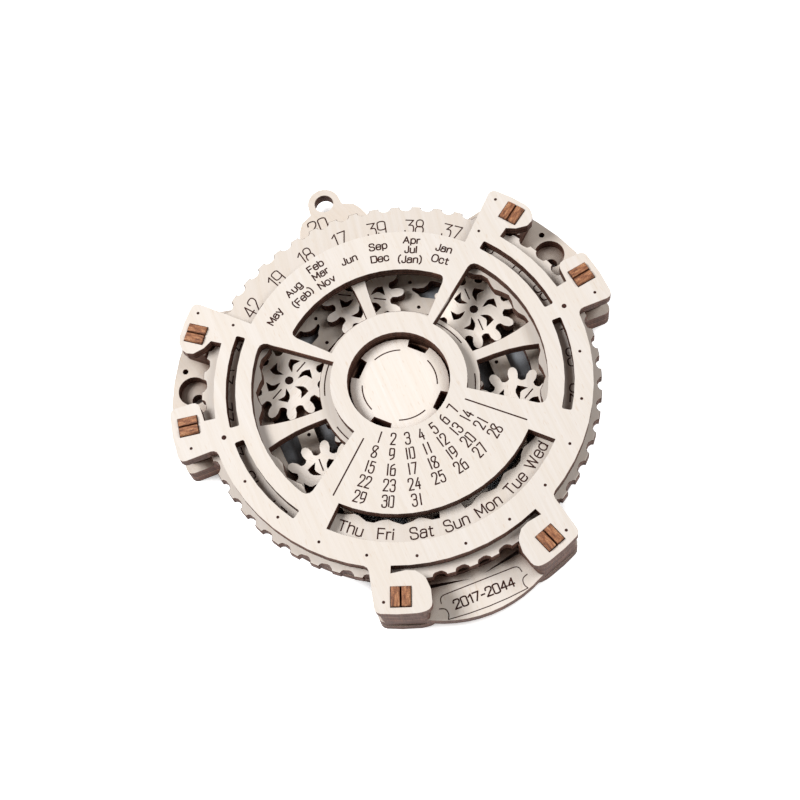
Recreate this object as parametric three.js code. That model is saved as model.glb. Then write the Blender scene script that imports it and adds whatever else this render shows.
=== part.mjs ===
// Perpetual desk calendar of laser-cut plywood: five sheets, a year wheel and a planetary gear train.
// Millimetres, +Z out of the front face. The origin is on the wheel's axis, in the back face.
import * as THREE from 'three';

// Sheets and fits
const sheet = 3.5;
const runningGap = 0.25;
const fitGap = 0.05;
const fullTurn = 360;
const arcStep = 6;
const filletStep = 30;

// Front plate
const discRadius = 53;
const topStep = 7.6;
const topEdgeRadius = discRadius - topStep;
const bottomStep = 0.7;
const bottomEdgeRadius = discRadius - bottomStep;
const notchStep = 1.7;
const sideNotchRadius = discRadius - notchStep;
const hubHoleRadius = 14.2;
const earFillet = 1.8;
const sideEarFoot = 0.2;

// Year wheel
const rimOverhang = 2.4;
const rimCrestRadius = discRadius + rimOverhang;
const scallopDepth = 1.3;
const rimValleyRadius = rimCrestRadius - scallopDepth;
const rimBand = 16.1;
const wheelInnerRadius = rimCrestRadius - rimBand;
const wheelWave = 0.75;
const hubRingWidth = 8.2;
const hubRingRadius = hubHoleRadius + hubRingWidth;
const spokeHalfWidth = 1.6;
const spokeFlare = 2;
const hubDiscPlay = 0.35;
const centreDiscRadius = hubHoleRadius - hubDiscPlay;
const centreNotchDepth = 2.2;

// Ears, measured from the wheel's rim that they clear
const sideEarReach = 8.3;
const sideEarRadius = rimCrestRadius + sideEarReach;
const bottomEarReach = 9.8;
const bottomEarRadius = rimCrestRadius + bottomEarReach;
const notchLip = 1;
const notchRimRadius = rimCrestRadius - notchLip;

// Pegs and spacers
const pegWidth = 5.2;
const pegSlit = 0.5;
const pegStandOut = 0.8;
const pegSlitDepth = 14;
const spacerSetBack = 0.9;
const rimClearance = 0.45;

// Windows of the front plate
const sideWindowBand = 12.2;
const sideWindowOuter = discRadius - sideWindowBand;
const sideHubBand = 4.7;
const sideWindowInner = hubHoleRadius + sideHubBand;
const topWindowBand = 11.9;
const topWindowOuter = topEdgeRadius - topWindowBand;
const topHubBand = 6.2;
const topWindowInner = hubHoleRadius + topHubBand;
const weekdayBand = 7;
const weekdayWindowOuter = discRadius - weekdayBand;
const weekdayWindowHeight = 7.7;
const weekdayWindowInner = weekdayWindowOuter - weekdayWindowHeight;
const slotBand = 6.45;
const slotMiddleRadius = discRadius - slotBand;
const slotWidth = 2.7;
const windowFillet = 2.4;
const smallFillet = 0.5;

// Gear train
const planetOrbit = 32.5;
const planetTeeth = 12;
const sunTeeth = 24;
const ringTeeth = 48;
const toothBacklash = 0.3;
const pressureAngle = 20;
const axleRadius = 1.15;
const axlePlay = 0.1;
const hubDiscRadius = hubHoleRadius;
const hubFlange = 2.8;
const hubFlangeRadius = hubHoleRadius + hubFlange;
const hubPlay = 0.1;
const drivenRingSetBack = 3;
const drivenRingRadius = rimCrestRadius - drivenRingSetBack;
const drivenRingPlay = 0.5;

// Hanger plate, name plate and back plate
const archOverhang = 0.6;
const archRadius = rimCrestRadius + archOverhang;
const hangerEarRadius = 4.8;
const hangerRise = 9.5;
const hangerHeight = archRadius + hangerRise;
const hangerHoleRadius = 2.8;
const hangerFootWidth = 21.4;
const lobeReach = 10;
const lobeRadius = rimCrestRadius + lobeReach;
const sideHoleRadius = 4.3;
const sideHoleLip = 1.6;
const sideHoleAngle = 156.5;
const markHoleRadius = 0.85;
const markHoleInset = 2.7;
const markHoleAngle = 151.1;
const rearHoleRadius = 1.8;
const rearHoleInset = 6.7;
const rearHoleAngle = 157.9;
const nameOverhang = 1.7;
const namePlateDrop = bottomEarRadius + nameOverhang;
const namePlateCurve = 34.75;
const namePlateHalfWidth = 15.8;
const springRise = 1.4;
const springTop = discRadius + springRise;
const springReach = 12.9;
const springSlit = 1.1;
const springBump = 2.6;
const backRingBand = 15.8;
const backRingInner = discRadius - backRingBand;
const armWidth = 6;
const barOrbit = 29.05;
const barWidth = 5.1;
const barHoleOrbit = 28.4;
const barHoleRadius = 0.55;
const backHubRim = 1.8;
const backHubRadius = hubHoleRadius + backHubRim;

// Levels, from the back
const frameLevel = sheet;
const carrierLevel = frameLevel + sheet;
const wheelLevel = carrierLevel + sheet;
const frontLevel = wheelLevel + sheet;
const turningSheet = (frontLevel - frameLevel - runningGap - runningGap) / 3;
const ringGearLevel = frameLevel + runningGap;
const carrierRingLevel = ringGearLevel + turningSheet;
const yearWheelLevel = carrierRingLevel + turningSheet;
const planetThickness = turningSheet - runningGap;
const flangeThickness = yearWheelLevel - runningGap - carrierLevel;

const birch = { color: 0xe9dccb, roughness: 0.72 };
const shadedBirch = { color: 0xd9c3a5, roughness: 0.75 };
const pegWood = { color: 0xb08263, roughness: 0.65 };

const model = new THREE.Group();

function radians(degrees) {
  return degrees * Math.PI / 180;
}

// A corner of an outline: its place and the radius that rounds it
function corner(x, y, fillet = 0) {
  return { x, y, fillet };
}

function polar(radius, degrees, fillet = 0) {
  return corner(radius * Math.cos(radians(degrees)), radius * Math.sin(radians(degrees)), fillet);
}

function moved(points, x, y) {
  return points.map((point) => corner(point.x + x, point.y + y, point.fillet));
}

function turned(points, degrees) {
  const cosine = Math.cos(radians(degrees));
  const sine = Math.sin(radians(degrees));
  return points.map((point) => corner(
    point.x * cosine - point.y * sine,
    point.x * sine + point.y * cosine,
    point.fillet,
  ));
}

// The same corners on the other side of the middle line, in reverse order so that the outline runs on
function mirrored(points) {
  return points.map((point) => corner(-point.x, point.y, point.fillet)).reverse();
}

function arc(radius, from, to, step = arcStep) {
  const count = Math.max(1, Math.round(Math.abs(to - from) / step));
  return Array.from({ length: count + 1 }, (_, i) => polar(radius, from + (to - from) * i / count));
}

function circle(radius, step = arcStep) {
  return arc(radius, 0, fullTurn, step).slice(0, -1);
}

// Rounds each corner by its fillet, at most as far as half of the shorter edge beside it
function rounded(corners) {
  const points = [];
  corners.forEach((here, i) => {
    const at = new THREE.Vector2(here.x, here.y);
    const before = corners[(i + corners.length - 1) % corners.length];
    const after = corners[(i + 1) % corners.length];
    const back = new THREE.Vector2(before.x, before.y).sub(at);
    const ahead = new THREE.Vector2(after.x, after.y).sub(at);
    const turn = Math.PI - Math.abs(back.angleTo(ahead));
    if (!here.fillet || turn < radians(arcStep)) {
      points.push(at);
      return;
    }
    const reach = Math.min(here.fillet * Math.tan(turn / 2), back.length() / 2, ahead.length() / 2);
    const radius = reach / Math.tan(turn / 2);
    const start = at.clone().addScaledVector(back.clone().normalize(), reach);
    const end = at.clone().addScaledVector(ahead.clone().normalize(), reach);
    const middle = start.clone().add(end).divideScalar(2);
    const centre = at.clone().add(middle.sub(at).multiplyScalar((reach ** 2 + radius ** 2) / reach ** 2));
    const count = Math.max(1, Math.round(turn / radians(filletStep)));
    const first = start.clone().sub(centre);
    const sweep = Math.atan2(first.cross(end.clone().sub(centre)), first.dot(end.clone().sub(centre)));
    for (let k = 0; k <= count; k += 1) {
      points.push(start.clone().rotateAround(centre, sweep * k / count));
    }
  });
  return points;
}

function extrude(outline, holes, thickness) {
  const shape = new THREE.Shape(rounded(outline));
  shape.holes = holes.map((hole) => new THREE.Path(rounded(hole)));
  return new THREE.ExtrudeGeometry(shape, { depth: thickness, bevelEnabled: false });
}

function addPiece(name, geometry, level, look, place = { x: 0, y: 0 }, degrees = 0) {
  const material = new THREE.MeshStandardMaterial({ ...look, metalness: 0 });
  const piece = new THREE.Mesh(geometry, material);
  piece.name = name;
  piece.position.set(place.x, place.y, level);
  piece.rotation.z = radians(degrees);
  model.add(piece);
  return piece;
}

// Directions in degrees, counter-clockwise from the right
const top = 90;
const side = 180;
const bottom = 270;

// Ears on the left side; the right side mirrors them
const pegInset = { upper: 4.5, lower: 4.8, bottom: 4.6 };
const pegs = [
  { name: 'upper', orbit: sideEarRadius - pegInset.upper, angle: 143.7 },
  { name: 'lower', orbit: sideEarRadius - pegInset.lower, angle: 170.7 },
  { name: 'bottom', orbit: bottomEarRadius - pegInset.bottom, angle: 249.9 },
];
const upperEar = {
  start: 135.3,
  end: 147.2,
  bulge: { inset: 3.3, angle: 150.1 },
  foot: { rise: 1.3, angle: 148.8 },
};
const upperNotchAngle = 144.8;
const lowerNotchAngle = 170.1;
const bottomNotchAngle = 247.1;
const lowerEar = { shoulder: { rise: 0.2, angle: 163.9 }, start: 165.4 };
const bottomEar = {
  root: 240.7,
  start: 243.9,
  end: 254,
  tip: { inset: 0.6, angle: 257.3 },
  bulge: { rise: 2.2, angle: 257.6 },
  shoulder: { inset: 2.2, angle: 254.3 },
};
const bulgeFillet = 5;

function footAngle(radius) {
  return side - Math.asin(sideEarFoot / radius) * 180 / Math.PI;
}

function upperEarOuter() {
  return [
    polar(sideEarRadius, upperEar.start, earFillet),
    polar(sideEarRadius, (upperEar.start + upperEar.end) / 2),
    polar(sideEarRadius, upperEar.end, bulgeFillet),
  ];
}

function lowerEarOuter() {
  const foot = footAngle(sideEarRadius);
  return [
    polar(sideEarRadius, lowerEar.start, earFillet),
    polar(sideEarRadius, (lowerEar.start + foot) / 2),
    polar(sideEarRadius, foot, earFillet),
  ];
}

// Outer edge of the two rear plates, from the upper ear round the lobe to the lower ear
function lobeOuter() {
  return [
    polar(lobeRadius, upperEar.start, earFillet),
    ...arc(lobeRadius, (upperEar.start + upperEar.end) / 2, lowerEar.shoulder.angle - arcStep / 2, arcStep),
    polar(sideEarRadius, lowerEar.start),
  ];
}

function bottomEarOuter() {
  return [
    polar(discRadius, bottomEar.root, earFillet),
    polar(bottomEarRadius, bottomEar.start, earFillet),
    polar(bottomEarRadius, (bottomEar.start + bottomEar.end) / 2),
  ];
}

function bottomEarTip() {
  return [
    polar(bottomEarRadius, bottomEar.end, bulgeFillet),
    polar(bottomEarRadius - bottomEar.tip.inset, bottomEar.tip.angle, bulgeFillet),
    polar(rimCrestRadius + bottomEar.bulge.rise, bottomEar.bulge.angle, bulgeFillet),
    polar(rimCrestRadius - bottomEar.shoulder.inset, bottomEar.shoulder.angle, bulgeFillet),
  ];
}

function pegPlace(peg) {
  return polar(peg.orbit, peg.angle);
}

function square(width) {
  return [corner(-width / 2, -width / 2), corner(width / 2, -width / 2),
    corner(width / 2, width / 2), corner(-width / 2, width / 2)];
}

function pegHole(peg) {
  const place = pegPlace(peg);
  return moved(turned(square(pegWidth + fitGap + fitGap), peg.angle), place.x, place.y);
}

function roundHole(radius, place, step = fullTurn / 12) {
  return moved(circle(radius, step), place.x, place.y);
}

function bothSides(holes) {
  return [...holes, ...holes.map(mirrored)];
}

// Front plate
const slots = { upper: [141.1, 174.5], lower: [180, 213.5] };
const sideWindow = { top: 141, low: 213, innerLow: 210 };
const topWindow = { outer: 133, straight: 133.9, inner: 134.5 };
const topWindowEnd = 2.1;
const weekdayEnd = 224.7;
const weekdayStart = bottom + bottom - weekdayEnd;

function arcSlot([from, to]) {
  const inner = slotMiddleRadius - slotWidth / 2;
  const outer = slotMiddleRadius + slotWidth / 2;
  const path = [...arc(outer, from, to), ...arc(inner, to, from)];
  return path.map((point, i) => {
    const atEnd = i === 0 || i === path.length - 1 || i === path.length / 2 - 1 || i === path.length / 2;
    return corner(point.x, point.y, atEnd ? smallFillet : 0);
  });
}

function sideWindowOutline() {
  const outer = arc(sideWindowOuter, sideWindow.top, sideWindow.low);
  const inner = arc(sideWindowInner, sideWindow.innerLow, sideWindow.top);
  outer[0].fillet = windowFillet;
  outer[outer.length - 1].fillet = windowFillet;
  return [...outer, ...inner];
}

function topWindowOutline() {
  const half = [
    ...arc(topWindowOuter, top, topWindow.outer).slice(1, -1),
    polar(topWindowOuter, topWindow.outer, windowFillet),
    polar(topWindowOuter - topWindowEnd, topWindow.straight),
    ...arc(topWindowInner, topWindow.inner, top).slice(0, -1),
  ];
  return [...mirrored(half), polar(topWindowOuter, top), ...half, polar(topWindowInner, top)];
}

function weekdayWindowOutline() {
  return [
    ...arc(weekdayWindowOuter, weekdayEnd, weekdayStart),
    ...arc(weekdayWindowInner, weekdayStart, weekdayEnd),
  ];
}

function frontPlateOutline() {
  const left = [
    ...arc(topEdgeRadius, top + arcStep, upperEar.start - arcStep),
    polar(topEdgeRadius, upperEar.start),
    ...upperEarOuter(),
    polar(sideEarRadius - upperEar.bulge.inset, upperEar.bulge.angle, bulgeFillet),
    polar(rimCrestRadius + upperEar.foot.rise, upperEar.foot.angle, bulgeFillet),
    polar(notchRimRadius, upperNotchAngle),
    ...arc(sideNotchRadius, upperNotchAngle, lowerNotchAngle),
    polar(notchRimRadius, lowerNotchAngle),
    polar(rimCrestRadius + lowerEar.shoulder.rise, lowerEar.shoulder.angle, earFillet),
    ...lowerEarOuter(),
    polar(discRadius, footAngle(discRadius), earFillet),
    ...arc(discRadius, side + arcStep, bottomEar.root - arcStep),
    ...bottomEarOuter(),
    ...bottomEarTip(),
    polar(notchRimRadius, bottomNotchAngle),
    ...arc(bottomEdgeRadius, bottomNotchAngle, bottom - arcStep),
  ];
  return [polar(topEdgeRadius, top), ...left, polar(bottomEdgeRadius, bottom), ...mirrored(left)];
}

addPiece('front_plate', extrude(frontPlateOutline(), [
  circle(hubHoleRadius, 8),
  topWindowOutline(),
  weekdayWindowOutline(),
  ...bothSides([sideWindowOutline(), arcSlot(slots.upper), arcSlot(slots.lower)]),
  ...bothSides(pegs.map(pegHole)),
], sheet), frontLevel, birch);

// Year wheel
const crests = 56;
const waves = 28;
const quarter = 90;
// From a crest's middle to the notch's: [share of the pitch, share of the depth]
const notchShares = [[0.2, 0], [0.24, 0.5], [0.34, 0.87]];

function scallopedRim() {
  const pitch = fullTurn / crests;
  return Array.from({ length: crests }, (_, k) => {
    const at = k * pitch;
    const half = notchShares.map(([along, down]) => [along, rimCrestRadius - down * scallopDepth]);
    return [
      ...[...half].reverse().map(([along, radius]) => polar(radius, at - along * pitch)),
      ...half.map(([along, radius]) => polar(radius, at + along * pitch)),
      polar(rimValleyRadius, at + pitch / 2),
    ];
  }).flat();
}

// One of the four windows, from the spoke at 0 degrees to the next
function wheelWindow() {
  const steps = 28;
  const spread = (width, radius) => Math.asin(width / radius) * 180 / Math.PI;
  const flare = (spokeHalfWidth + spokeFlare);
  const end = spread(flare, wheelInnerRadius);
  const outer = Array.from({ length: steps + 1 }, (_, i) => {
    const angle = end + (quarter - end - end) * i / steps;
    const wave = wheelWave * Math.cos(radians((angle - quarter) * waves));
    return polar(wheelInnerRadius - wave, angle);
  });
  const spokeRadii = [0.3, 0.55, 0.8].map((share) => hubRingRadius + share * (wheelInnerRadius - hubRingRadius));
  const bow = (radius) => spokeHalfWidth
    + spokeFlare * ((radius - hubRingRadius) / (wheelInnerRadius - hubRingRadius)) ** 3;
  const root = spread(spokeHalfWidth, hubRingRadius);
  return [
    ...arc(hubRingRadius, quarter - root, root, 9),
    ...spokeRadii.map((radius) => polar(radius, spread(bow(radius), radius))),
    ...outer,
    ...spokeRadii.reverse().map((radius) => polar(radius, quarter - spread(bow(radius), radius))),
  ];
}

addPiece('year_wheel', extrude(scallopedRim(), [
  circle(hubHoleRadius + fitGap, 8),
  ...[0, 1, 2, 3].map((k) => turned(wheelWindow(), k * quarter)),
], turningSheet), yearWheelLevel, birch);

// Centre disc and the two hub discs that carry it: four notches go down through all three
const notchHalfAngle = 12.5;
const notchFloor = centreDiscRadius - centreNotchDepth;

function notchedDisc(radius) {
  return [0, 1, 2, 3].flatMap((k) => {
    const notch = k * quarter + quarter / 2;
    return [
      ...arc(radius, notch - quarter + notchHalfAngle, notch - notchHalfAngle, 9),
      polar(notchFloor, notch - notchHalfAngle),
      polar(notchFloor, notch + notchHalfAngle),
    ];
  });
}

function flangeNotch(k) {
  const notch = k * quarter + quarter / 2;
  return [
    ...arc(centreDiscRadius, notch - notchHalfAngle, notch + notchHalfAngle, 9),
    polar(notchFloor, notch + notchHalfAngle),
    polar(notchFloor, notch - notchHalfAngle),
  ];
}

addPiece('lower_hub_disc', extrude(notchedDisc(hubDiscRadius), [], sheet), frameLevel, shadedBirch);
addPiece('upper_hub_disc', extrude(circle(hubFlangeRadius, 9), [0, 1, 2, 3].map(flangeNotch), flangeThickness),
  carrierLevel, shadedBirch);
addPiece('centre_disc', extrude(notchedDisc(centreDiscRadius), [], sheet), carrierLevel + flangeThickness, birch);

// Gears: involute teeth of one module, thinned by the backlash
const gearModule = 2 * planetOrbit / (sunTeeth + planetTeeth);
const addendum = 0.72 * gearModule;
const dedendum = 1.42 * gearModule;

function involute(angle) {
  return Math.tan(angle) - angle;
}

// Half of a tooth's width at a radius, in degrees; inside the base circle the flank is radial
function toothHalfAngle(teeth, radius, thinning) {
  const pitch = teeth * gearModule / 2;
  const base = pitch * Math.cos(radians(pressureAngle));
  const thickness = Math.PI * gearModule / 2 - thinning;
  const here = radius > base ? Math.acos(base / radius) : 0;
  return (thickness / (2 * pitch) + involute(radians(pressureAngle)) - involute(here)) * 180 / Math.PI;
}

// Flanks from root to tip, as shares of the tooth's depth and of its width there, which rounds the tip
const flankShares = [[0.12, 1], [0.5, 1], [0.82, 1], [0.95, 0.7], [1, 0.28]];

function outerTeeth(teeth) {
  const pitch = teeth * gearModule / 2;
  const root = pitch - dedendum;
  const depth = addendum + dedendum;
  const thinning = toothBacklash / 2;
  return Array.from({ length: teeth }, (_, k) => {
    const at = k * fullTurn / teeth;
    const gap = fullTurn / teeth - 2 * toothHalfAngle(teeth, root, thinning);
    const flank = flankShares.map(([rise, width]) => {
      const radius = root + rise * depth;
      return [radius, width * toothHalfAngle(teeth, radius, thinning)];
    });
    return [
      ...flank.map(([radius, half]) => polar(radius, at - half)),
      ...[...flank].reverse().map(([radius, half]) => polar(radius, at + half)),
      polar(root, at + fullTurn / teeth / 2 - gap / 6),
      polar(root, at + fullTurn / teeth / 2 + gap / 6),
    ];
  }).flat();
}

const ringFlankShares = [0.35, 0.7, 1];

function innerTeeth(teeth) {
  const pitch = teeth * gearModule / 2;
  const root = pitch + dedendum;
  const depth = addendum + dedendum;
  return Array.from({ length: teeth }, (_, k) => {
    const at = k * fullTurn / teeth;
    const flank = ringFlankShares.map((share) => {
      const radius = root - share * depth;
      const space = toothHalfAngle(teeth, radius, -toothBacklash / 2);
      return [radius, fullTurn / teeth / 2 - space];
    });
    return [
      ...flank.map(([radius, half]) => polar(radius, at - half)),
      ...[...flank].reverse().map(([radius, half]) => polar(radius, at + half)),
      polar(root, at + fullTurn / teeth / 2),
    ];
  }).flat();
}

addPiece('ring_gear', extrude(circle(drivenRingRadius), [innerTeeth(ringTeeth)], turningSheet),
  ringGearLevel, shadedBirch);
const carrierInner = ringTeeth * gearModule / 2 - addendum + runningGap;
addPiece('carrier_ring', extrude(circle(drivenRingRadius), [circle(carrierInner)], turningSheet),
  carrierRingLevel, shadedBirch);
addPiece('sun_gear', extrude(outerTeeth(sunTeeth), [circle(hubDiscRadius + hubPlay, 9)], planetThickness),
  ringGearLevel, birch);

// Each planet gear has six crescent cut-outs around its axle; their corners are [share of the pitch
// radius, degrees]
const planetPitch = planetTeeth * gearModule / 2;
const finShares = [
  [0.231, -9], [0.323, 7.5], [0.415, 13.5], [0.5, 12.5], [0.61, 7.5], [0.6, -5.5], [0.61, -18.5],
  [0.545, -13.5], [0.475, -6], [0.41, -3], [0.33, -5.5],
];

function fin(k) {
  return finShares.map(([share, angle]) => polar(share * planetPitch, angle + k * fullTurn / 6));
}

function planetGeometry() {
  const fins = Array.from({ length: 6 }, (_, k) => fin(k));
  return extrude(turned(outerTeeth(planetTeeth), fullTurn / planetTeeth / 2),
    [circle(axleRadius + axlePlay, fullTurn / 12), ...fins], planetThickness);
}

const planetAngles = [90, 150, 210, 270, 330, 30];
planetAngles.forEach((angle, k) => {
  const place = polar(planetOrbit, angle);
  addPiece(`planet_gear_${k + 1}`, planetGeometry(), ringGearLevel, birch, place);
  addPiece(`planet_axle_${k + 1}`,
    extrude(circle(axleRadius, fullTurn / 12), [], ringGearLevel + planetThickness), 0, pegWood, place);
});

// Back plate: ring with ears, arms under the planets and a hexagon of bars
function backWindow(inner, k) {
  const half = armWidth / 2;
  const near = inner ? backHubRadius : backRingInner;
  const line = barOrbit + (inner ? -barWidth : barWidth) / 2;
  const onArc = 30 - Math.asin(half / near) * 180 / Math.PI;
  const along = (line - half * Math.sin(radians(30))) / Math.cos(radians(30));
  const side = along * Math.sin(radians(30)) - half * Math.cos(radians(30));
  const bar = [corner(line, -side, smallFillet), corner(line, side, smallFillet)];
  const rim = arc(near, onArc, -onArc);
  rim[0].fillet = smallFillet;
  rim[rim.length - 1].fillet = smallFillet;
  return turned([...bar, ...rim], k * 60);
}

function backPlateOutline() {
  const left = [
    ...arc(archRadius, top + arcStep, upperEar.start - arcStep),
    ...lobeOuter(),
    ...lowerEarOuter().slice(1),
    polar(discRadius, footAngle(discRadius), earFillet),
    ...arc(discRadius, side + arcStep, bottomEar.root - arcStep),
    ...bottomEarOuter(),
    ...bottomEarTip(),
    ...arc(discRadius, bottomEar.bulge.angle, bottom - arcStep),
  ];
  return [polar(archRadius, top), ...left, polar(discRadius, bottom), ...mirrored(left)];
}

// The two upper windows are shorter, and a lobe of the ring reaches into each. Corners are
// [share of the way from bar to ring, share of the bar's length]
const lobedShares = [
  [0, 0], [0.14, 0.027], [0.32, 0.091], [0.49, 0.105], [0.47, 0.044], [0.54, -0.01], [0.72, -0.046],
  [0.98, -0.068],
];
const lobePinOrbit = 36.1;
const lobePinAngle = 114;

function lobedWindow() {
  const [low, high, , ...rim] = backWindow(false, 0);
  const length = high.y - low.y;
  const lobe = lobedShares.map(([out, along]) => corner(
    low.x + out * (backRingInner - low.x), along * length, smallFillet));
  return [low, ...lobe, ...rim.filter((point) => point.y < lobe[lobe.length - 1].y)];
}

const six = [0, 1, 2, 3, 4, 5];
const plainWindows = [0, 3, 4, 5];
addPiece('back_plate', extrude(backPlateOutline(), [
  ...bothSides(pegs.map(pegHole)),
  ...bothSides([roundHole(rearHoleRadius, polar(lobeRadius - rearHoleInset, rearHoleAngle))]),
  ...planetAngles.map((angle) => roundHole(axleRadius + fitGap, polar(planetOrbit, angle))),
  ...six.map((k) => roundHole(barHoleRadius, polar(barHoleOrbit, k * 60), fullTurn / 8)),
  ...six.map((k) => backWindow(true, k)),
  ...plainWindows.map((k) => backWindow(false, k)),
  ...bothSides([turned(lobedWindow(), side / 3)]),
  ...bothSides([roundHole(barHoleRadius, polar(lobePinOrbit, lobePinAngle), fullTurn / 8)]),
], sheet), 0, shadedBirch);

// Hanger plate: side brackets, arch and hanging loop in one sheet
const bracketInner = drivenRingRadius + drivenRingPlay;
// [share of the foot's half width, share of the rise above the arch]
const shoulderShares = [[1, 0.06], [0.9, 0.39], [0.76, 0.63], [0.46, 0.78]];
const archStart = 103;

function hangerPlateOutline() {
  const foot = hangerFootWidth / 2;
  const shoulder = shoulderShares.map(([across, up]) => corner(
    -foot * across, archRadius + up * hangerRise, smallFillet));
  const loop = arc(hangerEarRadius, 90, 180, 15).slice(1);
  const left = [
    ...moved(loop, 0, hangerHeight),
    ...shoulder.reverse(),
    ...arc(archRadius, archStart, upperEar.start - arcStep),
    ...lobeOuter(),
    ...lowerEarOuter().slice(1),
    polar(bracketInner, footAngle(bracketInner)),
    ...arc(bracketInner, side - arcStep, top + arcStep),
  ];
  return [corner(0, hangerHeight + hangerEarRadius), ...left, polar(bracketInner, top),
    ...mirrored(left)];
}

addPiece('hanger_plate', extrude(hangerPlateOutline(), [
  moved(circle(hangerHoleRadius, 15), 0, hangerHeight),
  ...bothSides([pegHole(pegs[0]), pegHole(pegs[1])]),
  ...bothSides([
    roundHole(sideHoleRadius, polar(lobeRadius - sideHoleRadius - sideHoleLip, sideHoleAngle), 12),
    roundHole(markHoleRadius, polar(lobeRadius - markHoleInset, markHoleAngle), fullTurn / 8),
  ]),
], sheet), frameLevel, birch);

// Name plate with two spring fingers toward the driven ring
const bumpAngle = 258.4;
const springRootAngle = 255.2;
const innerEdgeEnd = 251;
const springShares = [[0.2, 0], [0.55, 0.1], [0.67, 0.6]];

function namePlateOutline() {
  const centre = -namePlateDrop + namePlateCurve;
  const start = Math.asin(namePlateHalfWidth / namePlateCurve) * 180 / Math.PI;
  const tip = -springReach;
  const bump = polar(bracketInner, bumpAngle);
  const rise = springTop + bump.y;
  const slitEnd = corner(-springReach / 5, -springTop - springBump + springSlit / 2);
  const half = [
    corner(-springReach * springShares[0][0], -springTop),
    ...springShares.slice(1).map(([across, up]) => corner(tip * across, -springTop + rise * up, springBump)),
    corner(bump.x, bump.y, springSlit),
    corner(tip, bump.y - springSlit / 2, springSlit / 2),
    corner(tip, bump.y - springBump + smallFillet, smallFillet),
    slitEnd,
    corner(tip, bump.y - springBump - springSlit + smallFillet),
    corner(tip - springSlit, bump.y - springBump - springSlit + smallFillet, smallFillet),
    polar(bracketInner, springRootAngle),
    ...arc(bracketInner, innerEdgeEnd, bottomEar.root),
    ...bottomEarOuter().slice(1, 2),
    ...moved(arc(namePlateCurve, bottom - start, bottom).slice(0, -1), 0, centre),
  ];
  return [corner(0, -springTop), ...half, corner(0, -namePlateDrop), ...mirrored(half)];
}

addPiece('name_plate', extrude(namePlateOutline(), bothSides([pegHole(pegs[2])]), sheet), frameLevel, birch);

// Spacers, two sheets at each ear, open toward the wheel around their peg. Each spread runs from the peg's
// angle to the first outer corner, the last outer corner and the last inner corner
const spacerSpreads = { upper: [7.6, 3.5, 4.7], lower: [4.6, 6.6, 6.6], bottom: [5.6, 6.1, 7] };
function spacerOutline(peg, setBack) {
  const rim = rimCrestRadius + rimClearance;
  const outer = (peg.name === 'bottom' ? bottomEarRadius : sideEarRadius) - setBack;
  const spread = spacerSpreads[peg.name];
  const half = pegWidth / 2 + fitGap;
  const local = [
    polar(outer, -spread[0], earFillet), polar(outer, 0), polar(outer, spread[1], earFillet),
    polar(rim, spread[2], smallFillet),
    corner(rim, half), corner(peg.orbit + half, half), corner(peg.orbit + half, -half), corner(rim, -half),
    polar(rim, -spread[0], smallFillet),
  ];
  return turned(local, peg.angle);
}

const spacerSetBacks = { upper: 0, lower: spacerSetBack, bottom: 0 };
const sides = { left: (outline) => outline, right: mirrored };
Object.entries(sides).forEach(([name, onSide]) => {
  pegs.forEach((peg) => {
    const outline = onSide(spacerOutline(peg, spacerSetBacks[peg.name]));
    addPiece(`spacer_rear_${name}_${peg.name}`, extrude(outline, [], sheet), carrierLevel, shadedBirch);
    addPiece(`spacer_front_${name}_${peg.name}`, extrude(outline, [], sheet), wheelLevel, shadedBirch);
  });
});

// Pegs: square, slit from the front so that they spring in the ears
function pegGeometry() {
  const half = pegWidth / 2;
  const length = frontLevel + sheet + pegStandOut;
  const outline = [
    corner(-half, 0), corner(half, 0), corner(half, length, smallFillet), corner(pegSlit / 2, length),
    corner(pegSlit / 2, length - pegSlitDepth), corner(-pegSlit / 2, length - pegSlitDepth),
    corner(-pegSlit / 2, length), corner(-half, length, smallFillet),
  ];
  const geometry = extrude(outline, [], pegWidth);
  geometry.translate(0, 0, -half);
  geometry.rotateX(Math.PI / 2);
  geometry.rotateZ(Math.PI / 2);
  return geometry;
}

Object.entries({ left: 1, right: -1 }).forEach(([name, sign]) => {
  pegs.forEach((peg) => {
    const place = pegPlace(peg);
    const angle = sign > 0 ? peg.angle : side - peg.angle;
    addPiece(`peg_${name}_${peg.name}`, pegGeometry(), 0, pegWood, { x: sign * place.x, y: place.y }, angle);
  });
});

export default model;
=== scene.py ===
"""Looks of the perpetual desk calendar: plywood, laser-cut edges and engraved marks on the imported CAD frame.

Lengths and places are in millimetres, and MM turns them into metres. Angles are in degrees, from +X unless
said otherwise.
"""

import math
import random

import bpy
from mathutils import Matrix, Vector


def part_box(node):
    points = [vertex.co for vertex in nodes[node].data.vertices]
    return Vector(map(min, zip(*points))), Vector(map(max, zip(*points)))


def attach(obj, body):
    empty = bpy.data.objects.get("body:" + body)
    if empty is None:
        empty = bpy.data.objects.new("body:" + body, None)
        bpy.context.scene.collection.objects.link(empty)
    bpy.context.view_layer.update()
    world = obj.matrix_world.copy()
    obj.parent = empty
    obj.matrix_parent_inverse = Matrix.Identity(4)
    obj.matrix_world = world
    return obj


MM = 0.001
UP = 90
DOWN = 270
QUARTERS = (0, 90, 180, 270)
CORNERS = ((-1, -1), (1, -1), (1, 1), (-1, 1))

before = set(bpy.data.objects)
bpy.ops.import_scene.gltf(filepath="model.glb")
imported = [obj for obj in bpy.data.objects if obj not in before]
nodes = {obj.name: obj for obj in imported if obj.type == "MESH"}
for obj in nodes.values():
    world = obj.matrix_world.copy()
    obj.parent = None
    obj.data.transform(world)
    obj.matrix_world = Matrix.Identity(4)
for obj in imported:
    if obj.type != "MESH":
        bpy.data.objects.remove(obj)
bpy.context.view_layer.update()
random.seed(7)


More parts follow.
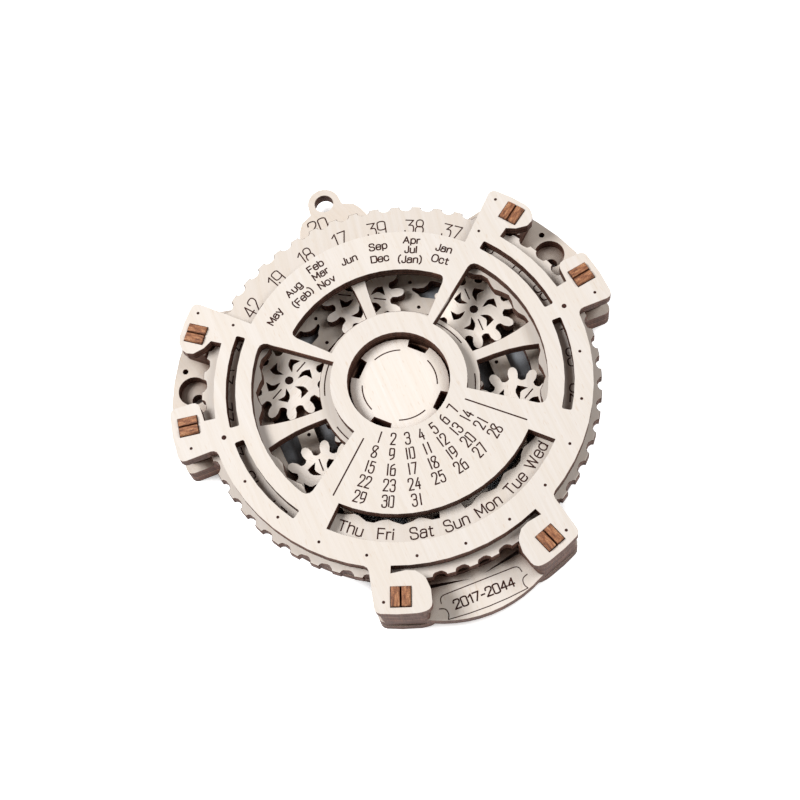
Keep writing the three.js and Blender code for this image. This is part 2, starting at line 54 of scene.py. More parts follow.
# Places in the frame

def level(node):
    """The height of a node's rear face, and its thickness."""
    low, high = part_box(node)
    return low.z / MM, (high.z - low.z) / MM


def top(node):
    """The height of a node's front face."""
    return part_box(node)[1].z / MM


def middle(node):
    """A node's middle, as seen from the front."""
    low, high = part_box(node)
    return Vector(((low.x + high.x) / 2 / MM, (low.y + high.y) / 2 / MM))


def polar(radius, angle):
    """The point at a radius from the wheel's axis, and at an angle."""
    return Vector((radius * math.cos(math.radians(angle)), radius * math.sin(math.radians(angle))))


FRONT = top("front_plate")
WHEEL_FACE = top("year_wheel")
DISC_FACE = top("centre_disc")
FRAME_PLATE_FACE = top("name_plate")
PLANET_FACE = top("planet_gear_1")


# Node materials

def add_node(tree, kind, inputs=None, **settings):
    """A shader node; a socket given as an input is linked, and any other value is set."""
    made = tree.nodes.new(kind)
    for name, value in settings.items():
        setattr(made, name, value)
    for name, value in (inputs or {}).items():
        socket = made.inputs[name]
        if isinstance(value, bpy.types.NodeSocket):
            tree.links.new(value, socket)
        else:
            socket.default_value = value
    return made


def maths(tree, operation, first, second=0.0):
    return add_node(tree, "ShaderNodeMath", {0: first, 1: second}, operation=operation).outputs[0]


def ramp(tree, value, stops):
    """A colour ramp; stops are (place, grey or colour)."""
    made = add_node(tree, "ShaderNodeValToRGB", {0: value})
    elements = made.color_ramp.elements
    while len(elements) < len(stops):
        elements.new(0.5)
    for element, (place, colour) in zip(elements, stops):
        element.position = place
        grey = (colour, colour, colour) if isinstance(colour, (int, float)) else colour
        element.color = (*grey, 1)
    return made.outputs[0]


def blend(tree, factor, first, second, mode="MIX"):
    """Two colours mixed by a factor; each of the three may be a socket."""
    made = add_node(tree, "ShaderNodeMix", data_type="RGBA", blend_type=mode)
    # A Mix node's colours are its inputs 6 and 7, and its output 2
    for socket, value in ((made.inputs[0], factor), (made.inputs[6], first), (made.inputs[7], second)):
        if isinstance(value, bpy.types.NodeSocket):
            tree.links.new(value, socket)
        else:
            socket.default_value = value if isinstance(value, float) else (*value, 1)
    return made.outputs[2]


def multiplied(tree, first, second):
    return blend(tree, 1.0, first, second, "MULTIPLY")


def stretched_noise(tree, place, scale, detail=3.0, shift=(0, 0, 0)):
    """Noise with its own scale in each direction, per metre."""
    moved = add_node(tree, "ShaderNodeMapping", {"Vector": place, "Scale": scale, "Location": shift})
    noise = add_node(tree, "ShaderNodeTexNoise", {"Vector": moved.outputs[0], "Scale": 1.0, "Detail": detail})
    return noise.outputs["Fac"]


def turned_place(tree, place, angle):
    """Coordinates whose Y axis is turned by angle from +Y."""
    rotation = (0, 0, math.radians(-angle))
    return add_node(tree, "ShaderNodeMapping", {"Vector": place, "Rotation": rotation}).outputs[0]


def openness(tree, reach, samples):
    """How free a point's surroundings are within reach: 0 in a narrow place, 1 in the open."""
    made = add_node(tree, "ShaderNodeAmbientOcclusion", {"Distance": reach * MM}, samples=samples)
    return made.outputs["AO"]


def upward(tree, vector):
    return add_node(tree, "ShaderNodeSeparateXYZ", {0: vector}).outputs[2]


def roughen(tree, shader, height, depth, strength):
    """Fine relief that the light shows."""
    bump = add_node(tree, "ShaderNodeBump", {"Strength": strength, "Distance": depth * MM, "Height": height})
    tree.links.new(bump.outputs[0], shader.inputs["Normal"])


def toned(colour, tone):
    return tuple(c * tone for c in colour)


def new_material(name):
    material = bpy.data.materials.new(name)
    material.use_nodes = True
    tree = material.node_tree
    return material, tree, tree.nodes["Principled BSDF"]


# Colours, from the birch's faces to the burnt walls
FACE_LIGHT = (0.82, 0.778, 0.742)
FACE_DARK = (0.775, 0.712, 0.645)
FACE_BLOTCH = (0.81, 0.735, 0.65)
FLECK = (0.66, 0.53, 0.41)
WARM = (0.66, 0.49, 0.33)
# Tint of the painted shade that darkens faces in narrow and deep places
RECESS_SHADE_TINT = (0.23, 0.125, 0.085)
GLUE_LINE = (0.34, 0.23, 0.15)
CHAR_LIGHT = (0.235, 0.112, 0.073)
CHAR_MID = (0.125, 0.052, 0.034)
CHAR_DARK = (0.034, 0.0135, 0.0095)

# Noise scales of a face: across the fibres, along them and through the sheet; blotches keep to X, Y and Z
STREAKS = (900, 26, 300)
FIBRES = (4200, 150, 900)
FLECKS = (2600, 380, 900)
BLOTCHES = (55, 38, 55)

# Noise scales of a wall: both ways along it, and through the sheet
PLY_WOBBLE = (300, 300, 60)
BEAM_LINES = (3200, 3200, 90)
WALL_PATCHES = (160, 160, 160)

# Colours of a wall, by share of the sheet's thickness
PLIES = [
    (0.0, GLUE_LINE), (0.05, CHAR_DARK), (0.27, CHAR_MID), (0.32, CHAR_LIGHT), (0.37, CHAR_DARK),
    (0.6, CHAR_MID), (0.65, CHAR_LIGHT), (0.7, CHAR_DARK), (0.92, CHAR_LIGHT), (1.0, CHAR_DARK),
]

# The plies waver by a share of the thickness, either way from the noise's middle value
WOBBLE_SHARE = 0.05
NOISE_MIDDLE = 0.5

# A surface is a face, and no wall, where its normal points up or down by more than this
FACE_FROM = 0.6

# Depth of the grain's relief, how far round a point the painted recess shade looks, and the most that a
# piece's noise is shifted
FACE_RELIEF = 0.06
RECESS_SHADE_REACH = 7.0
NOISE_SHIFT = 5


def sooted(tree, colour):
    """Painted shade: a colour darkened toward a brown tint in narrow and deep places."""
    open_share = ramp(tree, openness(tree, RECESS_SHADE_REACH, samples=6), [(0.34, 0.0), (0.66, 1.0)])
    return blend(tree, open_share, multiplied(tree, colour, RECESS_SHADE_TINT), colour)


def wall_colour(tree, place, bottom, thickness):
    """Laser-cut wall: plies and glue lines along the thickness, with the beam's fine upright lines."""
    share = maths(tree, "DIVIDE", maths(tree, "SUBTRACT", upward(tree, place), bottom * MM), thickness * MM)
    wobble = maths(tree, "SUBTRACT", stretched_noise(tree, place, PLY_WOBBLE), NOISE_MIDDLE)
    plies = ramp(tree, maths(tree, "ADD", share, maths(tree, "MULTIPLY", wobble, WOBBLE_SHARE)), PLIES)
    lines = ramp(tree, stretched_noise(tree, place, BEAM_LINES, 2.0), [(0.35, 0.72), (0.65, 1.18)])
    patches = ramp(tree, stretched_noise(tree, place, WALL_PATCHES), [(0.3, 0.75), (0.7, 1.2)])
    return multiplied(tree, multiplied(tree, plies, lines), patches)


def plywood(name, bottom, thickness, grain=0.0, tone=1.0, warmth=0.0, soot=True):
    """Birch plywood: pale grained faces, charred walls. grain is the fibres' direction from +Y, in degrees.

    Where soot is set, the faces get painted shade in narrow and deep places; a piece that turns has none,
    because that shade would have to change as it turns.
    """
    material, tree, shader = new_material(name)
    coords = add_node(tree, "ShaderNodeTexCoord")
    place = coords.outputs["Object"]
    along = turned_place(tree, place, grain)
    shift = tuple(random.uniform(-NOISE_SHIFT, NOISE_SHIFT) for _ in range(3))
    streaks = stretched_noise(tree, along, STREAKS, 4.0, shift)
    fibres = stretched_noise(tree, along, FIBRES, 2.0, shift)
    blotches = stretched_noise(tree, place, BLOTCHES, 3.0, shift)
    flecks = stretched_noise(tree, along, FLECKS, 1.0, shift)
    figure = ramp(tree, streaks, [(0.3, 0.0), (0.72, 1.0)])
    face = blend(tree, figure, toned(FACE_LIGHT, tone), toned(FACE_DARK, tone))
    face = blend(tree, ramp(tree, blotches, [(0.35, 0.0), (0.75, 0.35)]), face, toned(FACE_BLOTCH, tone))
    face = multiplied(tree, face, ramp(tree, fibres, [(0.3, 0.978), (0.7, 1.015)]))
    face = blend(tree, ramp(tree, flecks, [(0.66, 0.0), (0.76, 0.45)]), face, FLECK)
    if warmth:
        face = blend(tree, warmth, face, WARM)
    # Painted shade: faces darken toward a brown tint where their surroundings are narrow
    if soot:
        face = sooted(tree, face)
    walls = wall_colour(tree, place, bottom, thickness)
    upright = maths(tree, "ABSOLUTE", upward(tree, coords.outputs["Normal"]))
    is_face = maths(tree, "GREATER_THAN", upright, FACE_FROM)
    tree.links.new(blend(tree, is_face, walls, face), shader.inputs["Base Color"])
    rough = add_node(tree, "ShaderNodeMapRange", {"Value": fibres, "To Min": 0.6, "To Max": 0.78}).outputs[0]
    tree.links.new(rough, shader.inputs["Roughness"])
    shader.inputs["Specular IOR Level"].default_value = 0.28
    relief = maths(tree, "ADD", maths(tree, "MULTIPLY", streaks, 0.6), fibres)
    roughen(tree, shader, relief, FACE_RELIEF, strength=0.22)
    return material


CHAR_SPOTS = (1500, 1500, 1500)


def char(name, colour, roughness=0.8):
    """Dark material, uneven in its darkness: burnt wood of engraved marks and cut edges, and painted shade."""
    material, tree, shader = new_material(name)
    place = add_node(tree, "ShaderNodeTexCoord").outputs["Object"]
    uneven = ramp(tree, stretched_noise(tree, place, CHAR_SPOTS), [(0.3, 0.55), (0.7, 1.5)])
    tree.links.new(multiplied(tree, uneven, colour), shader.inputs["Base Color"])
    shader.inputs["Roughness"].default_value = roughness
    shader.inputs["Specular IOR Level"].default_value = 0.2
    return material


# Noise scales of a peg's end: along its streaks, across them and along the peg
PEG_BANDS = (420, 1700, 200)
PEG_PORES = (5200, 2400, 500)
PEG_STAIN = [(0.28, (0.10, 0.034, 0.016)), (0.46, (0.30, 0.115, 0.05)), (0.60, (0.45, 0.20, 0.092)),
             (0.76, (0.60, 0.33, 0.18))]
PEG_RELIEF = 0.1


def peg_wood(name, angle):
    """Square peg of stained plywood: its end shows the plies as streaks beside the slit."""
    material, tree, shader = new_material(name)
    along = turned_place(tree, add_node(tree, "ShaderNodeTexCoord").outputs["Object"], angle)
    pores = stretched_noise(tree, along, PEG_PORES, 2.0)
    stain = ramp(tree, stretched_noise(tree, along, PEG_BANDS, 4.0), PEG_STAIN)
    colour = multiplied(tree, stain, ramp(tree, pores, [(0.34, 0.55), (0.6, 1.12)]))
    tree.links.new(colour, shader.inputs["Base Color"])
    shader.inputs["Roughness"].default_value = 0.62
    roughen(tree, shader, pores, PEG_RELIEF, strength=0.35)
    return material


# Colour of the engraved marks, and of the painted shade in the peg gaps
BURNT_MARK_AND_GAP_SHADE = char("burnt_mark_and_gap_shade", (0.042, 0.015, 0.011))
ARRIS = char("burnt_arris", (0.07, 0.030, 0.021))
# The planet axles' ends: painted shade, near black, so that they read as the dark holes of the planets
PAINTED_SHADE_PIN = char("shaded_pin", (0.02, 0.009, 0.007), 0.9)


# The CAD nodes' materials and edges

# Width of the scorched edge, the gap that a weld closes, and the least angle of an edge that is scorched
PLATE_ARRIS = 0.2
PEG_ARRIS = 0.05
WELD_REACH = 0.002
SHARP_ANGLE = 60


def dress(node, material, arris=PLATE_ARRIS):
    """Gives a CAD node its material and, where arris isn't 0, a scorched and slightly broken edge."""
    piece = nodes[node]
    piece.data.materials.clear()
    piece.data.materials.append(material)
    piece.data.materials.append(ARRIS)
    if arris:
        weld = piece.modifiers.new("weld", "WELD")
        weld.merge_threshold = WELD_REACH * MM
        bevel = piece.modifiers.new("arris", "BEVEL")
        bevel.width = arris * MM
        bevel.segments = 1
        bevel.limit_method = "ANGLE"
        bevel.angle_limit = math.radians(SHARP_ANGLE)
        bevel.material = 1
        bevel.use_clamp_overlap = True


def dress_plate(node, **looks):
    bottom, thickness = level(node)
    dress(node, plywood(node, bottom, thickness, **looks))


dress_plate("front_plate", grain=3, tone=0.94)
dress_plate("year_wheel", grain=-8, tone=0.89, warmth=0.05, soot=False)
dress_plate("centre_disc", grain=2, tone=1.05)
dress_plate("hanger_plate", grain=20, tone=0.89, warmth=0.16)
dress_plate("name_plate", grain=-4, tone=0.99, warmth=0.08)
dress_plate("back_plate", grain=0, tone=0.84, warmth=0.14)
dress_plate("sun_gear", grain=35, tone=0.9, soot=False)
dress_plate("carrier_ring", grain=50, tone=0.88, warmth=0.1, soot=False)
dress_plate("ring_gear", grain=10, tone=0.88, warmth=0.1, soot=False)
dress_plate("upper_hub_disc", grain=70, tone=0.93)
dress_plate("lower_hub_disc", grain=15, tone=0.93)
# The planet gears' faces are made paler than the other sheets: painted light, so that they look lit down in
# their windows
for k, grain in enumerate((15, -60, 40, 80, -20, 5), 1):
    dress_plate(f"planet_gear_{k}", grain=grain, tone=1.15, warmth=0.03, soot=False)
for name in nodes:
    if name.startswith("spacer"):
        dress_plate(name, grain=30, tone=0.93)
    # Painted shade: the axle's end is near black, as the planet's hole looks in shade
    if name.startswith("planet_axle"):
        dress(name, PAINTED_SHADE_PIN, arris=0)

# How far each peg on the left is turned
PEG_ANGLES = {"upper": 143.7, "lower": 170.7, "bottom": 249.9}


def pegs():
    """Each peg's node, and how far the peg is turned; the right side mirrors the left."""
    for side in ("left", "right"):
        for tier, angle in PEG_ANGLES.items():
            yield f"peg_{side}_{tier}", angle if side == "left" else 180 - angle


for name, angle in pegs():
    dress(name, peg_wood(name, angle), arris=PEG_ARRIS)


# Engraved marks

# A stroke font of the builder's own: each character's width and strokes, with capitals CAPITAL units high.
# A stroke that starts with o is a closed loop, one with c is a curve through its points' middles.
CAPITAL = 10
GLYPHS = {
    "0": (5, ["o 0,-.5 0,3 0,7 0,10.5 5,10.5 5,7 5,3 5,-.5"]),
    "1": (2.6, ["0,7.6 2.3,10", "2.3,10 2.3,0"]),
    "2": (5, ["c 0,7.4 .2,10.5 5,10.6 5.1,6.6 3,4.2 0,0", "0,0 5.1,0"]),
    "3": (5, ["c 0,8.2 .6,10.4 5,10.5 5,5.4 1.7,5.3", "c 1.7,5.3 5.2,5.4 5.4,-.5 .4,-.5 0,2"]),
    "4": (5, ["3.8,0 3.8,10", "3.8,10 0,3", "0,3 5.2,3"]),
    "5": (5, ["4.9,10 .5,10", ".5,10 .3,5.4", "c .3,5.4 1.6,6.6 5.2,6.8 5.3,-.6 .5,-.5 0,2"]),
    "6": (5, ["c 4.8,8.4 4.4,10.4 0,10.8 0,5 0,3", "o 0,-.5 0,3 0,6.3 5,6.3 5,3 5,-.5"]),
    "7": (5, ["0,10 5,10", "5,10 1.7,0"]),
    "8": (5, ["o .3,5 .3,10.5 4.7,10.5 4.7,5", "o 0,-.5 0,5.4 5,5.4 5,-.5"]),
    "9": (5, ["o 0,3.8 0,7 0,10.5 5,10.5 5,7 5,3.8", "c 5,7 5,4 5,-.6 .6,-.6 .2,1.8"]),
    "-": (3, ["0,4.2 3,4.2"]),
    "(": (1.4, ["c 1.4,11.6 -.6,9 -.6,1 1.4,-1.8"]),
    ")": (1.4, ["c 0,11.6 2,9 2,1 0,-1.8"]),
    "A": (6.6, ["0,0 3.3,10", "3.3,10 6.6,0", "1.1,3.4 5.5,3.4"]),
    "D": (6, ["0,0 0,10", "c 0,10 6.3,10.4 6.3,5 6.3,-.4 0,0"]),
    "F": (5, ["0,0 0,10", "0,10 5,10", "0,5.2 4.4,5.2"]),
    "J": (4, ["c 4,10 4,4 4,-.6 .2,-.6 0,2.2"]),
    "M": (7, ["0,0 0,10", "0,10 3.5,2.6", "3.5,2.6 7,10", "7,10 7,0"]),
    "N": (6, ["0,0 0,10", "0,10 6,0", "6,0 6,10"]),
    "O": (6.8, ["o -.2,-.7 -.2,10.7 7,10.7 7,-.7"]),
    "S": (5.8, ["c 5.5,7.6 5.2,10.6 .1,10.6 .1,5.7 5.8,5 5.9,-.6 .2,-.6 0,2.5"]),
    "T": (6, ["0,10 6,10", "3,10 3,0"]),
    "W": (9, ["0,10 2.3,0", "2.3,0 4.5,10", "4.5,10 6.7,0", "6.7,0 9,10"]),
    "a": (4.8, ["c .3,5.4 .8,7.4 4.8,7.6 4.8,4 4.8,2 4.8,0", "c 4.8,4.3 0,4.4 -.4,-.5 3.8,-.6 4.8,2.2"]),
    "b": (5, ["0,0 0,10", "o 0,-.4 0,7.4 5.2,7.4 5.2,-.4"]),
    "c": (4.8, ["c 4.8,5 4.4,7.5 -.2,7.6 -.2,-.6 4.4,-.5 4.8,2"]),
    "d": (5, ["5,0 5,10", "o -.2,-.4 -.2,7.4 5,7.4 5,-.4"]),
    "e": (5, ["0,3.7 5.1,3.7", "c 5.1,3.7 5.2,7.6 -.1,7.6 -.2,-.6 4.6,-.6 5,1.7"]),
    "g": (5, ["o -.2,-.4 -.2,7.4 5,7.4 5,-.4", "c 5,7 5,0 5,-3.6 .4,-3.5 .1,-1.5"]),
    "h": (4.8, ["0,0 0,10", "c 0,3 .2,7.4 4.8,7.7 4.8,3 4.8,0"]),
    "i": (.2, ["0,0 0,7", "0,8.9 0,10"]),
    "l": (.2, ["0,0 0,10"]),
    "n": (4.8, ["0,0 0,7", "c 0,3 .2,7.4 4.8,7.7 4.8,3 4.8,0"]),
    "o": (5.2, ["o -.2,-.5 -.2,7.5 5.4,7.5 5.4,-.5"]),
    "p": (5, ["0,-3 0,7", "o 0,-.4 0,7.4 5.2,7.4 5.2,-.4"]),
    "r": (3, ["0,0 0,7", "c 0,3 .3,7 3,6.9"]),
    "t": (3.2, ["c 1.2,9.2 1.2,3 1.3,-.3 3.2,.1", "0,7 3.2,7"]),
    "u": (4.8, ["c 0,7 0,3 0,-.6 4.7,-.4 4.8,4", "4.8,0 4.8,7"]),
    "v": (5, ["0,7 2.5,0", "2.5,0 5,7"]),
    "y": (5, ["0,7 2.5,0", "c 5,7 2.6,.2 1.8,-3.6 .2,-2.8"]),
}
NARROW_DIGITS = {
    "0": (4, ["0,.4 0,9.6", "c 1.5,10 3.6,10.2 4,9.4 4,.6 3.6,-.2 1.5,0"]),
    "1": (2.2, ["1.6,10 1.6,0"]),
    "2": (4, ["c 0,7.6 0,10.4 4,10.4 4.2,6.8 2.4,4 0,0", "0,0 4.1,0"]),
    "3": (4, ["c 0,8.4 .2,10.2 4,10.6 4.2,5.5 1.6,5.4", "c 1.6,5.4 4.2,5.6 4.2,-.5 .2,-.4 0,1.8"]),
    "4": (4, ["3.2,0 3.2,6.6", "3,10 0,3.2", "0,3 4.1,3"]),
    "5": (4, ["3.9,10 .5,10", ".5,10 .3,5.6", "c .3,5.6 1.4,6.6 4.1,6.6 4.3,-.5 .4,-.5 0,1.8"]),
    "6": (4, ["c 3,10 0,8.4 0,4 0,-.2 1.6,0", "c 1,5.6 4,6.6 4,3.4 4,-.2 2.4,0"]),
    "7": (4, ["0,10 4,10", "4,10 1.6,0"]),
    "8": (4, ["c 1.6,4.8 -.6,6.8 .2,10.3 3.9,10.3 4,8.4", "c 2.4,5.2 4.6,3.4 4,-.4 .1,-.4 0,2",
              "3.9,8.6 .1,2"]),
    "9": (4, ["c 1,0 4,1.6 4,6 4,10.2 2.4,10", "c 3,4.4 0,3.4 0,6.6 0,10.2 1.6,10"]),
}
FLAT_THREE = (5, ["0,10 4.9,10", "4.9,10 2.2,6", "c 2.2,6 5.3,6.3 5.5,-.6 .4,-.6 0,1.8"])


CUT_SHARE = 0.25


def smoothed(points, closed, rounds=3):
    """Corner cutting, which leaves an open stroke's ends where they are."""
    for _ in range(rounds):
        count = len(points)
        cut = []
        for i in range(count if closed else count - 1):
            a, b = points[i], points[(i + 1) % count]
            cut += [a.lerp(b, CUT_SHARE), a.lerp(b, 1 - CUT_SHARE)]
        if not closed:
            cut = [points[0], *cut[1:-1], points[-1]]
        points = cut
    return points


def parse(stroke):
    """A stroke's points, and whether it is a closed loop."""
    kind = stroke[0] if stroke[0] in "oc" else ""
    points = [Vector(tuple(float(n) for n in pair.split(","))) for pair in stroke.lstrip("oc ").split()]
    if kind:
        points = smoothed(points, kind == "o")
    return points, kind == "o"


# Height of the lowest marks above their face, and the steps in height between marks
MARK_LIFT = 0.03
MARK_STEP = 0.002
MARK_STEPS = 6

# A ribbon's corners widen up to MITRE_LIMIT, and its ends stand out by a share of its width
SAME_POINT = 1e-9
LEAST_MITRE = 0.3
MITRE_LIMIT = 1.6
END_SHARE = 0.35

# An arc's points are about this many degrees apart
ARC_STEP = 3
LEAST_ARC_STEPS = 3


class Marks:
    """Ribbons and dots on one flat face, gathered into one mesh."""

    def __init__(self, face):
        self.vertices = []
        self.faces = []
        self.face = face
        self.count = 0

    def height(self):
        """The next mark's height, a step from the last one's, so that marks that cross don't share a plane."""
        self.count += 1
        return self.face + MARK_LIFT + MARK_STEP * (self.count % MARK_STEPS)

    def ribbon(self, points, width, closed=False):
        """A stroke of even width with square ends."""
        z = self.height()
        start = len(self.vertices)
        count = len(points)
        for i, at in enumerate(points):
            before = points[i - 1] if closed or i else None
            after = points[(i + 1) % count] if closed or i < count - 1 else None
            ways = [w.normalized() for w in (at - before if before is not None else None,
                                             after - at if after is not None else None)
                    if w is not None and w.length > SAME_POINT]
            way = sum(ways, Vector((0, 0))).normalized()
            reach = min(MITRE_LIMIT, 1 / max(LEAST_MITRE, way.dot(ways[0])))
            side = Vector((-way.y, way.x)) * (width / 2 * reach)
            end = Vector((0, 0))
            if not closed and i in (0, count - 1):
                end = way * (width * END_SHARE if i else -width * END_SHARE)
            for p in (at + side + end, at - side + end):
                self.vertices.append((p.x * MM, p.y * MM, z * MM))
        for i in range(count if closed else count - 1):
            a, b = start + 2 * i, start + 2 * ((i + 1) % count)
            self.faces.append((a, a + 1, b + 1, b))

    def dot(self, at, radius, sides=14):
        """A round dot."""
        z = self.height()
        start = len(self.vertices)
        for i in range(sides):
            p = at + polar(radius, 360 * i / sides)
            self.vertices.append((p.x * MM, p.y * MM, z * MM))
        self.faces.append(tuple(range(start, start + sides)))

    def arc(self, radius, first, last, width, centre=(0, 0)):
        """A ribbon along a circle, from its first angle to its last."""
        steps = max(LEAST_ARC_STEPS, int(abs(last - first) / ARC_STEP))
        angles = [first + (last - first) * i / steps for i in range(steps + 1)]
        self.ribbon([Vector(centre) + polar(radius, angle) for angle in angles], width)

    def text(self, words, at, turn, height, width, stretch=1.0, spacing=1.6, swap=None):
        """Words centred on a point, with their up direction turned from +Y.

        height is the capitals' height, width is the line's, and spacing is in the font's units.
        """
        glyphs = [(swap or {}).get(c, GLYPHS[c]) for c in words]
        unit = height / CAPITAL
        total = sum(g[0] for g in glyphs) + spacing * (len(glyphs) - 1)
        turned = Matrix.Rotation(math.radians(turn), 2)
        pen = -total / 2
        for wide, strokes in glyphs:
            for stroke in strokes:
                points, closed = parse(stroke)
                placed = [turned @ Vector(((p.x + pen) * unit * stretch, (p.y - CAPITAL / 2) * unit)) + at
                          for p in points]
                self.ribbon(placed, width, closed)
            pen += wide + spacing

    def around(self, words, radius, angle, inward=False, **letters):
        """Words on a circle, whose up direction points outward or inward."""
        self.text(words, polar(radius, angle), angle + 90 if inward else angle - 90, **letters)

    def piece(self, name, body):
        """Makes the mesh, which rides on the body that carries the face."""
        mesh = bpy.data.meshes.new(name)
        mesh.from_pydata(self.vertices, [], self.faces)
        mesh.materials.append(BURNT_MARK_AND_GAP_SHADE)
        made = bpy.data.objects.new(name, mesh)
        bpy.context.scene.collection.objects.link(made)
        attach(made, body)


# Months on the front plate: each group's angle, and each name's radius in it
MONTHS = [
    (128.9, [("May", 40.3)]),
    (115.5, [("Aug", 41.2), ("(Feb)", 37.4)]),
    (103.0, [("Feb", 42.7), ("Mar", 39.85), ("Nov", 36.6)]),
    (90.0, [("Jun", 39.75)]),
    (77.4, [("Sep", 41.4), ("Dec", 37.5)]),
    (64.2, [("Apr", 42.65), ("Jul", 39.75), ("(Jan)", 36.6)]),
    (51.1, [("Jan", 41.5), ("Oct", 37.9)]),
]
MONTH_LETTERS = {"height": 1.95, "width": 0.4, "stretch": 1.25, "spacing": 2.2}
months = Marks(FRONT)
for angle, words in MONTHS:
    for word, radius in words:
        months.around(word, radius, angle, **MONTH_LETTERS)
months.piece("month_names", "frame")

# Days of the month, in seven columns that fan out below the hub between two lines
DAY_ROWS = [17.3, 21.6, 26.0, 30.4, 34.85]
DAY_COLUMNS = 7
DAY_PITCH = 12.65
LAST_DAY = 31
DAY_LETTERS = {"height": 3.1, "width": 0.38, "stretch": 0.98, "spacing": 2, "swap": NARROW_DIGITS}
DAY_SIDE = [(27.8, -24.3), (14.8, -12.4)]
DAY_SIDE_WIDTH = 0.4
days = Marks(FRONT)
for column in range(DAY_COLUMNS):
    angle = DOWN + DAY_PITCH * (column - DAY_COLUMNS // 2)
    for row, radius in enumerate(DAY_ROWS):
        day = 1 + column + DAY_COLUMNS * row
        if day <= LAST_DAY:
            days.around(str(day), radius, angle, inward=True, **DAY_LETTERS)
for side in (-1, 1):
    days.ribbon([Vector((side * x, y)) for x, y in DAY_SIDE], DAY_SIDE_WIDTH)
days.piece("day_numbers", "frame")

# Small drilled dots of the front plate: on a ring, two larger ones beside it, and on the ears
DOT_RING = 50
DOT_RADIUS = 0.42
DOT_ANGLES = [42.1, -13.3, -29.2, -44.4, -59.7, -74.9]
LARGE_DOT_RING = 50.1
LARGE_DOT_RADIUS = 0.68
LARGE_DOT_ANGLES = [3, 177]
EAR_DOTS = [(45.2, 41.0), (59.4, 3.1), (25.5, -56.6)]
dots = Marks(FRONT)
for angle in DOT_ANGLES:
    for turn in (angle, 180 - angle):
        dots.dot(polar(DOT_RING, turn), DOT_RADIUS)
dots.dot(polar(DOT_RING, DOWN), DOT_RADIUS)
for angle in LARGE_DOT_ANGLES:
    dots.dot(polar(LARGE_DOT_RING, angle), LARGE_DOT_RADIUS)
for x, y in EAR_DOTS:
    for side in (-1, 1):
        dots.dot(Vector((side * x, y)), DOT_RADIUS)
dots.piece("drilled_dots", "frame")

# Painted shade in the gap between each peg and its hole: a dark ribbon along the gap, in the burnt marks'
# material
PEG_GAP_HALF = 2.72
PEG_GAP_WIDTH = 0.2
gaps = Marks(FRONT)
for name, angle in pegs():
    turned = Matrix.Rotation(math.radians(angle), 2)
    corners = [turned @ (Vector(corner) * PEG_GAP_HALF) for corner in CORNERS]
    gaps.ribbon([middle(name) + corner for corner in corners], PEG_GAP_WIDTH, closed=True)
gaps.piece("peg_gaps", "frame")

# Years, weekday names and arcs on the year wheel
YEARS = [17, 18, 19, 42, 20, 21, 22, 23, 40, 24, 25, 26, 27, 44, 28, 29, 30, 31, 43, 32, 33, 34, 35, 41,
         36, 37, 38, 39]
WEEKDAYS = ["Thu", "Fri", "Sat", "Sun", "Mon", "Tue", "Wed"]
YEAR_PITCH = 360 / len(YEARS)
YEAR_RADIUS = 48.9
WEEKDAY_RADIUS = 42.75
YEAR_LETTERS = {"height": 4.1, "width": 0.36, "stretch": 1.1, "swap": {"3": FLAT_THREE}}
WEEKDAY_LETTERS = {"height": 2.85, "width": 0.4, "stretch": 1.2, "spacing": 2}
WHEEL_ARC_RADIUS = 20.9
WHEEL_ARC_SPAN = (14, 76)
ARC_WIDTH = 0.34
wheel = Marks(WHEEL_FACE)
for k, year in enumerate(YEARS):
    wheel.around(str(year), YEAR_RADIUS, UP + YEAR_PITCH * k, **YEAR_LETTERS)
    weekday_angle = DOWN + YEAR_PITCH * (k - len(WEEKDAYS) // 2)
    wheel.around(WEEKDAYS[k % len(WEEKDAYS)], WEEKDAY_RADIUS, weekday_angle, inward=True, **WEEKDAY_LETTERS)
for quarter in QUARTERS:
    wheel.arc(WHEEL_ARC_RADIUS, *(quarter + angle for angle in WHEEL_ARC_SPAN), ARC_WIDTH)
wheel.piece("wheel_numbers", "wheel")

# Hub disc: engraved arcs only, its middle is bare
HUB_ARC_RADIUS = 10.4
HUB_ARC_SPAN = (-21, 21)
hub = Marks(DISC_FACE)
for quarter in QUARTERS:
    hub.arc(HUB_ARC_RADIUS, *(quarter + angle for angle in HUB_ARC_SPAN), ARC_WIDTH)
hub.piece("hub_arcs", "frame")

# Century on the hanger plate, and the range of years in its frame on the name plate, which is the same sheet
CENTURY_AT = (-4.1, 59.1)
CENTURY_LETTERS = {"height": 4.0, "width": 0.38, "stretch": 1.2}
RANGE_AT = (0, -61.6)
RANGE_LETTERS = {"height": 2.35, "width": 0.42, "stretch": 1.35}
NAME_FRAME_WIDTH = 0.26
NAME_FRAME_TOP = [(-9, -58), (9.6, -58)]
NAME_FRAME_CORNERS = [
    "c 8.8,-58 10.4,-58 11.3,-58.6 11.5,-59.9",
    "c 12.5,-61.1 10.9,-61.6 10.6,-63.4 11.3,-64.6",
]
NAME_FRAME_BOTTOM = {"radius": 95, "first": DOWN - 6.8, "last": DOWN + 6.8, "centre": (0, 29.7)}


def name_frame(marks):
    """The line round the years: round upper corners, and lower ends that curve inward."""
    marks.ribbon([Vector(point) for point in NAME_FRAME_TOP], NAME_FRAME_WIDTH)
    for side in (-1, 1):
        for stroke in NAME_FRAME_CORNERS:
            points, _ = parse(stroke)
            marks.ribbon([Vector((side * p.x, p.y)) for p in points], NAME_FRAME_WIDTH)
    marks.arc(width=NAME_FRAME_WIDTH, **NAME_FRAME_BOTTOM)


